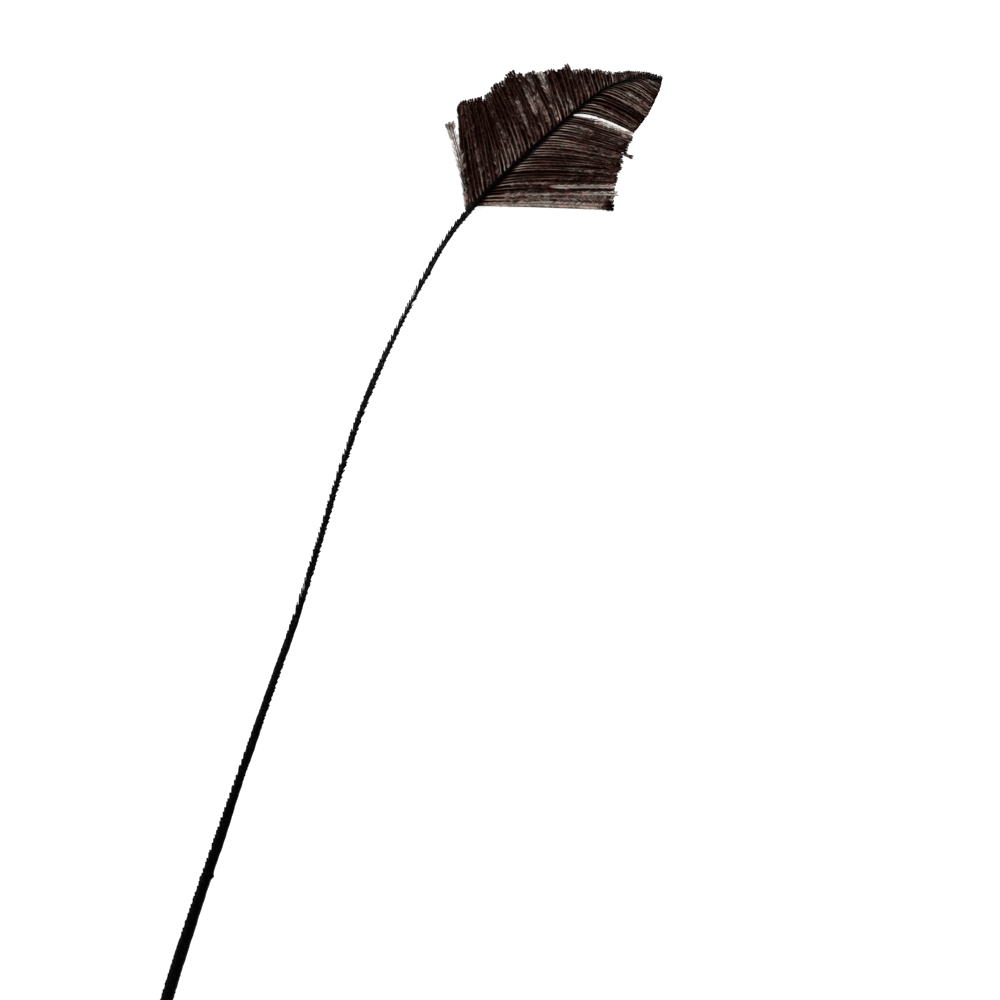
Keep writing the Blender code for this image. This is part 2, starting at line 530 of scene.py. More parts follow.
@dataclass(frozen=True)
class BarbFinish:
    """Dyed barb: a colour for each tone, warmed and cooled in soft patches."""

    name: str
    tones: Stops
    tints: Stops = ((0.35, (1.10, 0.90, 0.86)), (0.65, (0.94, 1.02, 0.96)))
    patch_scale: float = 260.0
    grain_scale: float = 3600.0
    grain: float = 0.10
    detail: float = 2.0
    roughness: float = 0.50
    specular: float = 0.04

    def make(self) -> bpy.types.Material:
        """The tone attribute, broken up by a fine grain, picks the colour along a ramp."""
        recipe = Recipe(self.name)
        tone = recipe.add("Attribute", attribute_name=TONE).outputs["Fac"]
        place = recipe.add("TexCoord").outputs["Object"]
        noise = recipe.noise(place, self.grain_scale, self.detail)
        grain = recipe.spread(noise, -self.grain, self.grain)
        colour = recipe.ramp(recipe.reckoned("ADD", tone, grain), self.tones)
        patches = recipe.ramp(recipe.noise(place, self.patch_scale, self.detail), self.tints)
        recipe.feed("Base Color", recipe.mixed(1.0, colour, patches, "MULTIPLY"))
        recipe.feed("Roughness", self.roughness)
        recipe.feed("Specular IOR Level", self.specular)
        return recipe.material


RAMUS_FINISH = BarbFinish(
    name="barb shafts",
    tones=((0.0, (0.003, 0.000, 0.000)), (0.5, (0.072, 0.040, 0.032)), (1.0, (0.55, 0.46, 0.42))),
    roughness=0.36,
    specular=0.16,
)
BARBULE_FINISH = BarbFinish(
    name="barbules",
    tones=(
        (0.0, (0.0030, 0.0001, 0.0000)),
        (0.3, (0.0140, 0.0022, 0.0006)),
        (0.6, (0.0720, 0.0320, 0.0260)),
        (1.0, (0.70, 0.61, 0.57)),
    ),
    specular=0.02,
)
# The mats stand for the deep barbules, coloured darker than the barbules as painted shade.
SHADED_MAT_FINISH = BarbFinish(
    name="barbule mat in painted shade",
    tones=((0.0, (0.002, 0.000, 0.000)), (0.5, (0.010, 0.003, 0.002)), (1.0, (0.30, 0.25, 0.22))),
    roughness=0.8,
    specular=0.02,
)


@dataclass(frozen=True)
class FloorFinish:
    """A pale floor that glows a little, so that it stays pale beneath the barbs."""

    name: str = "pale floor"
    colour: Colour = (0.62, 0.62, 0.62)
    glow_colour: Colour = (1.0, 1.0, 1.0)
    glow: float = 0.85

    def make(self) -> bpy.types.Material:
        """One even colour, and an even glow."""
        recipe = Recipe(self.name)
        recipe.feed("Base Color", self.colour)
        recipe.feed("Roughness", 1.0)
        recipe.feed("Specular IOR Level", 0.0)
        recipe.feed("Emission Color", self.glow_colour)
        recipe.feed("Emission Strength", self.glow)
        return recipe.material


@dataclass(frozen=True)
class Knot:
    """A lump on one side of the shaft, reaching a distance across from its middle."""

    station: float
    side: Side
    across: float
    half_length: float


@dataclass(frozen=True)
class Shaft:
    """The stripped quill, a lofted skin with knots, ridges and a groove beneath.

    Its section is a rounded square: the share across to the power of roundness, added to
    the share up or down from the middle to the same power, is 1. A ridge is how many there
    are round the shaft, how fast they turn along it, and their height. A row of the sides
    that stand out is a station and a distance on the left and on the right.
    """

    MAP = "quill"

    roundness: float = 2.5
    rings: int = 1000
    sides: int = 28
    underside_cut: float = 0.03
    ridges: tuple[tuple[int, float, float], ...] = (
        (5, 21.0, 0.00003),
        (9, 47.0, 0.00002),
        (13, 83.0, 0.000012),
    )
    full_ridges: float = 0.0025
    least_ridges: float = 0.25
    ridges_above: float = 0.05
    ridges_ease: float = 0.2
    groove_depth: float = 0.10
    groove_width: float = 0.16
    groove_from: float = 0.045
    groove_ease: float = 0.05
    butt_share: float = 0.02
    butt_pull: float = 20.0
    waves: tuple[tuple[float, float], ...] = ((610.0, 0.00004), (1370.0, 0.00004))
    even_below: float = 0.05
    # How much of the scuffs and painted glints shows along the shaft, most in its bare upper part.
    tones: Table = (
        (0.000, 0.06),
        (0.200, 0.08),
        (0.270, 0.26),
        (0.330, 0.34),
        (0.360, 0.85),
        (0.412, 0.85),
        (0.420, 0.06),
        (0.500, 0.02),
    )
    # A painted highlight that makes the left side of the shaft and of the stubs paler.
    left_painted_highlight: float = 0.45
    sides_out: Table = (
        (0.1100, 0.00000, 0.00000),
        (0.1285, 0.00009, 0.00009),
        (0.1360, 0.00023, 0.00023),
        (0.1435, 0.00005, 0.00033),
        (0.1585, -0.00002, 0.00030),
        (0.1660, -0.00005, 0.00040),
        (0.1735, -0.00016, 0.00058),
        (0.1810, -0.00023, 0.00061),
        (0.1885, -0.00016, 0.00040),
        (0.2035, -0.00012, 0.00012),
        (0.2110, -0.00005, 0.00037),
        (0.2185, 0.00016, 0.00016),
        (0.2260, 0.00019, -0.00005),
        (0.2410, 0.00023, -0.00009),
        (0.2485, 0.00016, 0.00026),
        (0.2560, -0.00016, 0.00033),
        (0.2635, -0.00040, 0.00023),
        (0.2710, -0.00054, 0.00002),
        (0.2785, -0.00023, 0.00002),
        (0.3010, 0.00002, 0.00009),
        (0.3160, -0.00012, -0.00012),
        (0.3235, -0.00023, 0.00016),
        (0.3310, -0.00012, -0.00005),
        (0.3385, 0.00019, -0.00009),
        (0.3460, 0.00023, 0.00012),
        (0.3535, -0.00002, 0.00016),
        (0.3685, -0.00026, 0.00009),
        (0.3760, -0.00044, -0.00019),
        (0.3835, -0.00033, 0.00016),
        (0.3910, -0.00002, 0.00033),
        (0.3985, -0.00016, 0.00030),
        (0.4135, 0.00000, 0.00017),
        (0.4210, 0.00000, 0.00000),
    )
    knots: tuple[Knot, ...] = (
        Knot(0.1628, Side.LEFT, 0.00225, 0.0009),
        Knot(0.1645, Side.RIGHT, 0.00230, 0.0008),
        Knot(0.2782, Side.LEFT, 0.00130, 0.0011),
        Knot(0.2782, Side.RIGHT, 0.00118, 0.0011),
        Knot(0.3245, Side.RIGHT, 0.00117, 0.0010),
        Knot(0.3888, Side.RIGHT, 0.00125, 0.0008),
        Knot(0.4150, Side.RIGHT, 0.00095, 0.0010),
    )

    def swelling(self, at: Array, across: Array) -> Array:
        """How far the shaft's uneven sides, its waves and its knots push the skin out.

        The sides' table is read for each side. The waves are sines along the shaft, and each
        knot is a bell curve along it, on its own side.

        Args:
            at: Stations.
            across: The share of the half width, from -1 on the left to 1 on the right.

        Returns:
            A distance outwards along the same side, in the arguments' shape.
        """
        half = QUILL.width(at) / 2
        left, right = read_table(self.sides_out, at, 1), read_table(self.sides_out, at, 2)
        pushed = np.where(across < 0.0, left, right) * across**2
        pushed = pushed + sum(size * np.sin(at * turns + across) for turns, size in self.waves)
        for knot in self.knots:
            reach = knot.across - np.interp(knot.station, at[:, 0], half[:, 0])
            side = np.clip(across * knot.side.value, 0.0, 1.0) ** 2
            pushed = pushed + reach * side * bell((at - knot.station) / knot.half_length)
        return pushed * ease(at / self.even_below)

    def surface(self, at: Array, turn: Array) -> Array:
        """The skin, as a function of the station and the angle round the section.

        A point is the centre line's, moved right by the half width times the section's
        cosine term, and up by the lift and by the height times its sine term. Ridges along
        the shaft are sine waves round it, and a groove is a bell curve beneath.

        Args:
            at: Stations, as rings by 1.
            turn: Angles from the right-hand side towards the top, as 1 by sides.

        Returns:
            Points, as rings by sides by 3.
        """
        cosine, sine = np.cos(turn), np.sin(turn)
        power = 2.0 / self.roundness
        across = np.sign(cosine) * np.abs(cosine) ** power + 0.0 * at
        up = 0.5 + 0.5 * np.sign(sine) * np.abs(sine) ** power
        up = np.maximum(0.0, (up - self.underside_cut) / (1.0 - self.underside_cut))
        half = QUILL.width(at) / 2
        ridge = sum(size * np.sin(count * turn + drift * at) for count, drift, size in self.ridges)
        ridge = ridge * np.clip(half / self.full_ridges, self.least_ridges, 1.0)
        ridge = ridge * ease((up - self.ridges_above) / self.ridges_ease)
        groove = bell(across / self.groove_width) * (up < 0.5)
        groove = groove * ease((at - self.groove_from) / self.groove_ease)
        outward = across * (half + ridge) + np.sign(across) * self.swelling(at, across)
        z = QUILL.lift(at) + QUILL.height(at) * (up + self.groove_depth * groove) + ridge * sine
        place = QUILL.place(at)
        level = place.centre + place.right * outward[..., None]
        return np.concatenate([level, z[..., None]], axis=-1)

    def stations(self) -> Array:
        """Where the rings stand: even, less a pull to the butt that dies away as e to a power."""
        share = np.linspace(0.0, 1.0, self.rings)
        pull = self.butt_share * (share - share**2) * np.exp(-share / self.butt_share)
        return QUILL.length * (share - pull * self.butt_pull)

    def build(self, material: bpy.types.Material) -> bpy.types.Object:
        """Makes the shaft's mesh, its map of turns and stations, and its object.

        Args:
            material: The dyed horn.

        Returns:
            The shaft.
        """
        at = self.stations()[:, None]
        turn = np.linspace(0.0, math.tau, self.sides, endpoint=False)[None, :]
        rings = self.surface(at, turn)
        rings[..., 2] = np.maximum(rings[..., 2], 0.0)
        mesh = skin_of_tubes(rings[None]).to_mesh("shaft")
        self.add_map(mesh)
        set_tone(mesh, self.tone(at, np.cos(turn)))
        return put_in_scene(mesh, material)

    def tone(self, at: Array, across: Array) -> Array:
        """How much scuffing and painted glint the horn shows at some stations, with a painted highlight
        towards the left.
        """
        return read_table(self.tones, at) * (1.0 - self.left_painted_highlight * across)

    def add_map(self, mesh: bpy.types.Mesh) -> None:
        """Gives each corner its turn round the shaft as U, and its share along it as V.

        The last face round a ring ends at a whole turn, so that the map doesn't run back.
        """
        corners = corner_points(mesh)
        u = (corners % self.sides) / self.sides
        quads = (self.rings - 1) * self.sides
        last = np.zeros(len(corners), bool)
        last[: quads * 4] = np.repeat(np.arange(quads) % self.sides == self.sides - 1, 4)
        u = np.where(last & (corners % self.sides == 0), 1.0, u)
        v = (corners // self.sides) / (self.rings - 1)
        set_map(mesh, self.MAP, np.stack([u, v], axis=-1))


@dataclass(frozen=True)
class Stubs:
    """What is left of the barbs that were cut off the shaft: low ridges along both sides.

    Each runs forwards and outwards over the shaft's shoulder, and ends in a cut face. A
    spread is the least and the most of what is drawn for each stub.
    """

    first: float = 0.070
    last: float = 0.4155
    spacing: float = 0.00172
    jitter: float = 0.00022
    length: float = 0.0030
    length_spread: Spread = (0.75, 1.2)
    start_share: float = 0.42
    end_share: float = 0.97
    proud: Table = (
        (0.070, 0.00002),
        (0.120, 0.00008),
        (0.250, 0.00012),
        (0.290, 0.00030),
        (0.416, 0.00036),
    )
    proud_spread: Spread = (0.5, 1.35)
    proud_power: int = 3
    half_width: Table = ((0.070, 0.00022), (0.150, 0.00030), (0.300, 0.00024), (0.416, 0.00022))
    width_spread: Spread = (0.8, 1.2)
    root_width: float = 0.25
    swelling: float = 1.6
    flatness: float = 0.8
    sunk: float = 0.35
    tone_spread: Spread = (0.3, 1.6)
    rings: int = 6
    sides: int = 6
    seed: int = 11

    def build(self, material: bpy.types.Material) -> bpy.types.Object:
        """Carries a six-sided section along every stub's path at once.

        The path's share of the half width grows evenly from the shoulder to the side, and
        its height follows the shaft's rounded square section.

        Args:
            material: The dyed horn.

        Returns:
            The stubs, joined in one piece.
        """
        rng = np.random.default_rng(self.seed)
        count = round((self.last - self.first) / self.spacing)
        side = np.repeat([-1.0, 1.0], count)[:, None]
        even = self.first + (np.arange(count) + 0.5) * self.spacing
        start = np.concatenate([even, even + self.spacing / 2])[:, None]
        start = start + rng.normal(0.0, self.jitter, start.shape)
        share = np.linspace(0.0, 1.0, self.rings)[None, :]
        length = self.length * rng.uniform(*self.length_spread, start.shape)
        at = start + length * share
        proud = read_table(self.proud, at) * rng.uniform(*self.proud_spread, start.shape)
        across = self.start_share + (self.end_share - self.start_share) * share
        outward = QUILL.width(at) / 2 * across + proud * share**self.proud_power
        rise = 0.5 + 0.5 * (1.0 - across**Shaft.roundness) ** (1.0 / Shaft.roundness)
        wide = self.root_width + (1.0 - self.root_width) * ease(share * self.swelling)
        radius = read_table(self.half_width, at) * wide
        radius = radius * rng.uniform(*self.width_spread, start.shape)
        place = QUILL.place(at)
        level = place.centre + place.right * (side * outward)[..., None]
        z = QUILL.lift(at) + QUILL.height(at) * rise - self.sunk * radius
        centres = np.concatenate([level, z[..., None]], axis=-1)
        turns = np.linspace(0.0, math.tau, self.sides, endpoint=False)
        frames = frames_of(np.gradient(centres, axis=1))
        rings = centres[..., None, :] + section(frames, turns, radius, self.flatness)
        rings[..., 2] = np.maximum(rings[..., 2], LOWEST)
        mesh = skin_of_tubes(rings).to_mesh("barb_stubs")
        corners = corner_points(mesh)
        u, v = corners % self.sides / self.sides, corners / len(mesh.vertices)
        set_map(mesh, Shaft.MAP, np.stack([u, v], axis=-1))
        # The stubs take the shaft's scuffs, painted glints and painted highlight on the left.
        tone = Shaft().tone(at, side * across) * rng.uniform(*self.tone_spread, start.shape)
        set_tone(mesh, np.repeat(tone[..., None], self.sides, axis=2))
        return put_in_scene(mesh, material)


@dataclass(frozen=True)
class Streak:
    """A stretch of neighbouring barbs that looks paler, darker or thinner than the rest.

    The gain is added to the tone, and the thinness is the share of barbules that is missing.
    The streak comes and goes over the soft share.
    """

    station: float
    half_width: float
    start: float
    end: float
    gain: float
    thinness: float = 0.0
    soft: float = 0.08

    def weight(self, stations: Array, shares: Array) -> Array:
        """How strongly it holds: a bell curve across it, eased in and out along it."""
        across = bell((stations - self.station) / self.half_width)
        begun = ease((shares - self.start) / self.soft + 0.5)
        left = ease((self.end - shares) / self.soft + 0.5)
        return across * (begun * left)


@dataclass(frozen=True)
class Tuft:
    """A few neighbouring barbs that are cut longer or shorter than the edge round them."""

    station: float
    half_width: float
    extra: float

    def reach(self, stations: Array) -> Array:
        """How far past the edge they reach: a bell curve over the stations."""
        return self.extra * bell((stations - self.station) / self.half_width)


@dataclass(frozen=True)
class Fuzz:
    """How a row's barbules stand off its barbs, and how much they differ.

    Density counts them to a millimetre of barb, and the angles are in degrees. A wisp is a
    few neighbours that share a tone and a turn. Close to the root, the near tone and shade is
    added to their tone, painted shade by the shaft where it is below 0, and the near loss is
    the share of their length that is missing.
    """

    density: float = 42.0
    angle: float = 21.0
    bend: float = 8.0
    spread: float = 5.0
    wisp_turn: float = 6.0
    wisp_contrast: float = 0.14
    contrast: float = 0.11
    near_tone_and_shade: float = 0.08
    near_loss: float = 0.25


@dataclass(frozen=True)
class BarbRow:
    """One side's barbs along a stretch of the shaft, and how they bundle into locks.

    A row of the edge is a station, the place where the barb from there is cut, as X and Y,
    and the angle in degrees at which it leaves the shaft. The contrasts are how far a barb
    and a lock differ from the base tone. The painted groove shade makes a lock's middle paler
    and the groove between two locks darker, as painted highlight and painted shade, and the
    painted root shade is how much darker all is over the shaft. A barb's own shaft has the
    ramus gain on top, and near its root a painted highlight, a least and a most, eased in over
    the bare-highlight-after length, so that the root itself stays in painted shade. The pull
    is how far a lock's barbs draw together, uneven is how unevenly barbs are cut, ragged how
    unevenly barbules are, and a mat stops short of the edge and narrows to a point.
    """

    name: str
    side: Side
    edge: Table
    leaving_share: float
    spacings: Table
    seed: int
    streaks: tuple[Streak, ...] = ()
    tufts: tuple[Tuft, ...] = ()
    fuzz: Fuzz = Fuzz()
    base_tone: float = 0.30
    painted_bare_highlight: Spread = (0.05, 0.45)
    ramus_gain: float = 0.0
    bare_highlight_after: float = 0.0045
    ramus_finest: float = 0.00005
    barb_contrast: float = 0.10
    lock_contrast: float = 0.07
    painted_groove_shade: float = 0.09
    painted_root_shade: float = 0.60
    pull: Spread = (0.00, 0.25)
    uneven: float = 0.00020
    ragged: Spread = (-0.0004, 0.0006)
    matted: bool = True
    mat_short: Spread = (0.0003, 0.0010)
    mat_point: float = 0.0007
    pieces: int = 1

    counting_steps: int = 2000
    root_inset: float = 0.40
    root_rise: float = 0.38
    arch: float = 0.0007
    full_arch_length: float = 0.020
    fall_power: float = 1.5
    rings: int = 56
    short_of_edge: float = 0.0004

    def roots(self) -> tuple[Array, Array]:
        """The stations where barbs grow, and the spacing at each.

        One over the spacing, summed along the shaft, counts the barbs, and one grows where
        that count passes each whole number and a half.

        Returns:
            The stations and the spacings, as two arrays with a value for each barb.
        """
        fine = np.linspace(self.edge[0][0], self.edge[-1][0], self.counting_steps)
        count = np.cumsum(1.0 / read_table(self.spacings, fine)) * (fine[1] - fine[0])
        barbs = np.arange(max(1, int(count[-1] + 0.5))) + 0.5
        grown = np.interp(barbs * count[-1] / len(barbs), count, fine)
        return grown, read_table(self.spacings, grown)

    def points(self, stations: Array, shares: Array) -> Array:
        """Points on the barbs, as a function of the station and the share along the barb.

        From above, a barb is a quadratic curve from its root inside the shaft, past a point
        on its leaving direction, to the trimmed edge. Its height falls from the root's as
        the share left to a power, with a low arch of 4 k (1 - k) on top.

        Args:
            stations: Where the barbs grow, in any shape.
            shares: How far along them, in the same shape.

        Returns:
            Points, with one more axis of 3.
        """
        place = QUILL.place(stations)
        side = self.side.value
        inset = side * self.root_inset * QUILL.width(stations) / 2
        root = place.centre + place.right * inset[..., None]
        cut = np.stack([read_table(self.edge, stations, 1), read_table(self.edge, stations, 2)], axis=-1)
        length = np.linalg.norm(cut - root, axis=-1)
        turn = np.radians(read_table(self.edge, stations, 3))[..., None]
        leaving = place.along * np.cos(turn) + place.right * side * np.sin(turn)
        bend = root + leaving * (self.leaving_share * length)[..., None]
        k = shares[..., None]
        level = root * (1.0 - k) ** 2 + bend * 2.0 * k * (1.0 - k) + cut * k**2
        root_height = QUILL.lift(stations) + self.root_rise * QUILL.height(stations)
        arch = self.arch * np.minimum(1.0, length / self.full_arch_length)
        left = np.maximum(1.0 - shares, 0.0)
        z = root_height * left**self.fall_power + arch * 4.0 * shares * left
        return np.concatenate([level, z[..., None]], axis=-1)


@dataclass(frozen=True)
class Spines:
    """The middle lines of a row's barbs, with what is carried along them.

    Arrays are barbs by rings, some with a last axis of 3. Gone is the length from the root,
    room is half the distance between neighbours, plain is the tone without the streaks, and
    fullness is the share of barbules left.
    """

    points: Array
    frames: Frames
    stations: Array
    shares: Array
    gone: Array
    room: Array
    plain: Array
    tone: Array
    fullness: Array


@dataclass(frozen=True)
class Spots:
    """Places on a row's barbs: the barb's number, the ring below and the part of a ring on."""

    barb: Array
    ring: Array
    part: Array

    def read(self, values: Array) -> Array:
        """Values that are carried along the barbs, straight between rings."""
        part = self.part.reshape(-1, *[1] * (values.ndim - 2))
        return values[self.barb, self.ring] * (1.0 - part) + values[self.barb, self.ring + 1] * part

    def read_frames(self, frames: Frames) -> Frames:
        """The barbs' directions there."""
        return Frames(self.read(frames.ahead), self.read(frames.right), self.read(frames.above))

    def only(self, chosen: Array) -> "Spots":
        """The chosen ones among them."""
        return Spots(self.barb[chosen], self.ring[chosen], self.part[chosen])


@dataclass(frozen=True)
class Vane:
    """Builds the pieces of one row of barbs: the barb shafts, the mats and the barbules.

    Each kind of piece draws its own random numbers, from the row's seed plus its draw. A
    spindle's points are its root, three round its knee and its tip.
    """

    MAT_DRAW = 1
    BARBULE_DRAW = 2
    RAMUS_DRAW = 3
    SPINDLE_FACES = ((0, 1, 2), (0, 2, 3), (0, 3, 1), (4, 2, 1), (4, 3, 2), (4, 1, 3))
    SPINDLE_CELL = ((0.08, 0.5), (0.42, 0.12), (0.42, 0.88), (0.58, 0.5), (0.92, 0.5))

    row: BarbRow

    # How barbs grow, bundle, wander and rise. A barb past the full length does so in full.
    lock_least: int = 2
    lock_most: int = 4
    full_length: float = 0.012
    root_jitter: float = 0.16
    pull_power: float = 1.6
    wander: float = 0.00032
    wander_turns: Spread = (3.0, 9.0)
    kept: Spread = (0.3, 1.08)
    base_rise: float = 0.00016
    lock_rise: float = 0.00034
    wave_rise: float = 0.5
    wave_turns: float = 7.0

    # The slow waves of a barb's tone, the painted shade in the grooves between locks and the painted
    # shade by the shaft.
    tone_wave: float = 0.05
    tone_turns: float = 4.0
    tone_turns_change: float = 3.0
    groove_shade_balance: float = 0.6
    painted_shade_width: float = 0.0011

    # The barb shafts, with painted glints here and there along their length.
    ramus_thick: float = 0.00014
    ramus_taper: float = 0.007
    ramus_depth: float = 1.15
    ramus_stride: int = 2
    pale_darkens: float = 0.35
    bare_highlight_fade: float = 0.008
    glint: float = 0.30
    glint_length: float = 0.0035
    between_glints: float = 0.05

    # The mats. A row of their section is a height over the barb's middle line, and the least
    # height over the surface as a share of the lowest.
    mat_overlap: float = 0.60
    mat_ragged: Spread = (0.84, 1.10)
    mat_end_width: float = 0.45
    mat_depth: float = 0.00042
    mat_sink_length: float = 0.003
    mat_sink_start: float = 0.4
    mat_section: Table = (
        (-0.00006, 0.6),
        (0.00004, 1.0),
        (0.00004, 1.0),
        (-0.00006, 0.6),
        (-0.00012, 0.2),
        (-0.00012, 0.2),
    )

    # Where barbules grow, and how many are missing where a streak is thin.
    edge_share: float = 0.24
    edge_length: float = 0.0022
    thinned: float = 0.30

    # The way barbules point, in degrees. The lift is a mean and a spread.
    fill: float = 1.5
    widest_sine: float = 0.75
    least_angle: float = 4.0
    edge_turn: float = 10.0
    lift: Spread = (-8.0, 13.0)
    wisp_lift: float = 10.0
    tip_fall: Spread = (6.0, 26.0)

    # The barbules' size, and the share of it that comes before the knee.
    barbule_length: float = 0.00225
    length_spread: Spread = (0.65, 1.15)
    shortest: float = 0.0004
    edge_slant: float = 0.9
    near_length: float = 0.008
    knee: float = 0.46
    barbule_half_width: float = 0.000060
    width_spread: Spread = (0.75, 1.25)

    # The barbules' wisps, and what is added to a tone at each point of a spindle: a painted highlight at
    # the root on the barb's ridge and painted shade at the tip in the valley.
    wisp_length: float = 0.00060
    wisps: int = 200
    wisp_most: float = 1.5
    spindle_highlight_and_shade: tuple[float, ...] = (0.19, 0.0, 0.0, 0.0, -0.26)

    def locks(self, rng: np.random.Generator, count: int) -> Array:
        """Which lock each barb is in: neighbours, a random few to a lock."""
        sizes = rng.integers(self.lock_least, self.lock_most + 1, count)
        return np.repeat(np.arange(count), sizes)[:count]

    def spines(self) -> Spines:
        """Lays out the row's barbs.

        A barb's station drifts towards its lock's middle as the share to the pull power, and
        wanders by a slow sine. It rises by the root of the sine of the share, more so in the
        middle of a lock.

        Returns:
            The barbs' middle lines.
        """
        row = self.row
        rng = np.random.default_rng(row.seed)
        grown, spacing = row.roots()
        count = len(grown)
        grown = grown + rng.uniform(-self.root_jitter, self.root_jitter, count) * spacing
        lock = self.locks(rng, count)
        middle = np.bincount(lock, grown) / np.maximum(np.bincount(lock), 1)
        off = grown - middle[lock]
        shares = np.linspace(0.0, 1.0, row.rings)[None, :] + 0.0 * grown[:, None]
        uncut = row.points(shares * 0.0 + grown[:, None], shares)
        full = np.minimum(1.0, self.cut_lengths(uncut) / self.full_length)
        pull = full * rng.uniform(*row.pull, len(middle))[lock]
        phase = rng.uniform(0.0, math.tau, (3, count, 1))
        turns = rng.uniform(*self.wander_turns, (count, 1))
        drift = self.wander * full[:, None] * shares * np.sin(shares * turns + phase[0])
        stations = grown[:, None] - (off * pull)[:, None] * shares**self.pull_power + drift
        stations = np.clip(stations, row.edge[0][0], row.edge[-1][0])
        reach = self.cut_lengths(row.points(stations, shares))
        uneven = rng.normal(0.0, row.uneven, count) * full
        extra = sum((tuft.reach(grown) for tuft in row.tufts), uneven)
        shares = shares * np.clip((reach - row.short_of_edge + extra) / reach, *self.kept)[:, None]
        points = row.points(stations, shares)
        central = 1.0 - np.abs(off / spacing)[:, None] / (self.lock_most / 2)
        wave = self.wave_rise * np.sin(shares * self.wave_turns + phase[1])
        swell = np.sin(np.clip(shares, 0.0, 1.0) * math.pi) ** 0.5
        points[..., 2] += self.base_rise + self.lock_rise * (central + wave) * swell
        frames = frames_of(np.gradient(points, axis=1))
        room = np.linalg.norm(np.cross(np.gradient(points, axis=0), frames.ahead), axis=-1) / 2
        steps = np.linalg.norm(np.diff(points, axis=1), axis=-1)
        gone = np.concatenate([np.zeros((count, 1)), np.cumsum(steps, axis=1)], axis=1)
        plain = row.base_tone + row.lock_contrast * rng.normal(size=len(middle))[lock][:, None]
        plain = plain + row.barb_contrast * rng.normal(size=(count, 1))
        slow = self.tone_turns + self.tone_turns_change * np.cos(phase[2])
        plain = plain + self.tone_wave * np.sin(shares * slow + phase[0])
        # Painted highlight on the middle of a lock and painted shade in the grooves between locks.
        plain = plain + row.painted_groove_shade * (central - self.groove_shade_balance)
        # Painted shade over the shaft and just beside it.
        plain = plain - row.painted_root_shade * (1.0 - self.clear_of_shaft(points, grown))
        tone, fullness = self.streaked(plain, stations, shares)
        return Spines(points, frames, stations, shares, gone, room, plain, tone, fullness)

    @staticmethod
    def cut_lengths(points: Array) -> Array:
        """Each barb's length from root to edge: the sum of its steps."""
        return np.linalg.norm(np.diff(points, axis=1), axis=-1).sum(axis=1)

    def clear_of_shaft(self, points: Array, grown: Array) -> Array:
        """How clear of the shaft points are, seen from above, which places the painted shade by the
        shaft.

        Args:
            points: Points on the barbs.
            grown: The station where each barb grows.

        Returns:
            0 over the shaft, eased to 1 over the painted shade width beside it.
        """
        place = QUILL.place(grown[:, None])
        aside = ((points[..., :2] - place.centre) * place.right).sum(axis=-1) * self.row.side.value
        return ease((aside - QUILL.width(grown)[:, None] / 2) / self.painted_shade_width)

    def streaked(self, plain: Array, stations: Array, shares: Array) -> tuple[Array, Array]:
        """Puts the row's streaks on its barbs.

        Args:
            plain: The tone without them.
            stations: The barbs' stations.
            shares: How far along the barbs.

        Returns:
            The tone with them, and the share of barbules that they leave.
        """
        tone, fullness = plain, np.ones(plain.shape)
        for streak in self.row.streaks:
            weight = streak.weight(stations, shares)
            tone = tone + streak.gain * weight
            fullness = fullness * (1.0 - streak.thinness * weight)
        return tone, fullness

    def rami(self, spines: Spines, material: bpy.types.Material) -> bpy.types.Object:
        """The barbs' own shafts: a diamond section carried along each, tapering.

        Its size falls from the root's towards the finest as e to the power of minus the
        length gone over the taper length. It darkens where a streak makes its barbules pale.
        A painted glint is the upper half of a sine wave along it.

        Args:
            spines: The row's barbs.
            material: The finish of barb shafts.

        Returns:
            The barb shafts of the row, joined in one piece.
        """
        row = self.row
        thick = self.ramus_thick * np.exp(-spines.gone / self.ramus_taper) + row.ramus_finest
        turns = np.radians([0.0, 90.0, 180.0, 270.0])
        rings = spines.points[..., None, :] + section(spines.frames, turns, thick, self.ramus_depth)
        rings[..., 2] = np.maximum(rings[..., 2], LOWEST)
        mesh = skin_of_tubes(rings[:, :: self.ramus_stride]).to_mesh(f"{row.name}_barb_shafts")
        rng = np.random.default_rng(row.seed + self.RAMUS_DRAW)
        phase = rng.uniform(0.0, math.tau, (len(spines.tone), 1))
        # A painted highlight on the barb's own shaft near its root, eased in past the root itself, which
        # stays in painted shade.
        root_highlight = rng.uniform(*row.painted_bare_highlight, (len(spines.tone), 1))
        root_highlight = root_highlight * ease(spines.gone / row.bare_highlight_after)
        gain = spines.tone - spines.plain
        tone = spines.plain + np.minimum(gain, -self.pale_darkens * gain)
        tone = tone + row.ramus_gain + root_highlight * np.exp(-spines.gone / self.bare_highlight_fade)
        # Painted glints along the barb's own shaft.
        glint = self.glint * np.maximum(0.0, np.sin(spines.gone / self.glint_length + phase))
        tone = tone + glint - self.between_glints
        set_tone(mesh, np.repeat(tone[:, :: self.ramus_stride, None], len(turns), axis=2))
        return put_in_scene(mesh, material)

